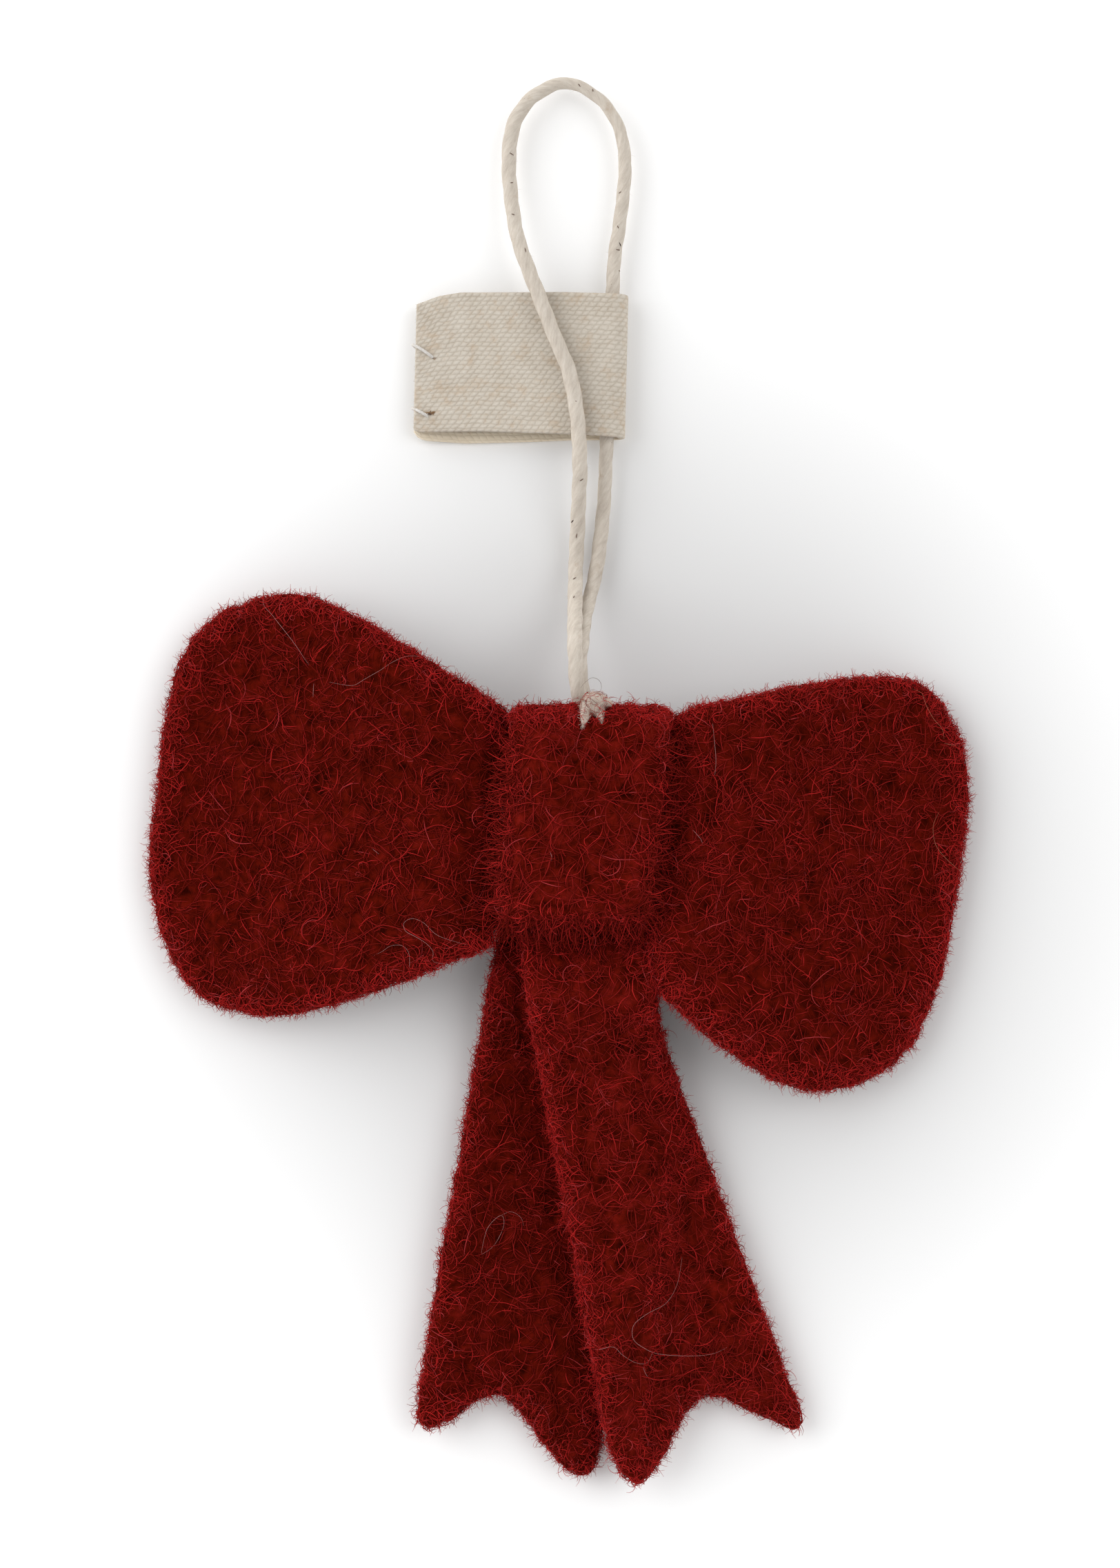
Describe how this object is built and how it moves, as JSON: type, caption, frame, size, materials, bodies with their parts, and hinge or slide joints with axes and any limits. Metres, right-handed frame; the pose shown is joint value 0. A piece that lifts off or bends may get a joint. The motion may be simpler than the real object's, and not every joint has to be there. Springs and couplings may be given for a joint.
{
  "type": "felt bow ornament",
  "caption": "Bow of thick red wool felt with two swallow-tail tails, a cotton string loop to hang it by and a folded tape label.",
  "frame": {"origin": "on the table, under the middle of the felt bow's box", "axes": "+Z out of the front of the bow, +Y towards the string loop, +X to the right as seen from the front; the bow lies on its back"},
  "size_m": [0.0852, 0.1458, 0.0142],
  "materials": {
    "red_felt": "matted wool felt",
    "red_thread": "sewing thread",
    "cotton_string": "undyed cotton cord",
    "cotton_tape": "undyed cotton twill tape",
    "white_thread": "sewing thread"
  },
  "bodies": {
    "bow": {"bow_body": "red_felt", "center_band": "red_felt", "left_tail": "red_felt", "right_tail": "red_felt", "band_seam_thread": "red_thread", "tail_tack_thread": "red_thread", "string_knot": "cotton_string"},
    "loop": {"hanging_string": "cotton_string"},
    "label": {"label_tape": "cotton_tape", "label_stitch_upper": "white_thread", "label_stitch_lower": "white_thread"}
  },
  "joints": [
    {"name": "loop_swing", "type": "hinge", "parent": "bow", "child": "loop", "pos_m": [0.00255, 0.0378, 0.0103], "axis": [1, 0, 0], "range_deg": [0, 100]},
    {"name": "label_slide", "type": "slide", "parent": "loop", "child": "label", "axis": [0.04, 0.9992, 0], "range_m": [-0.003, 0.003]}
  ]
}
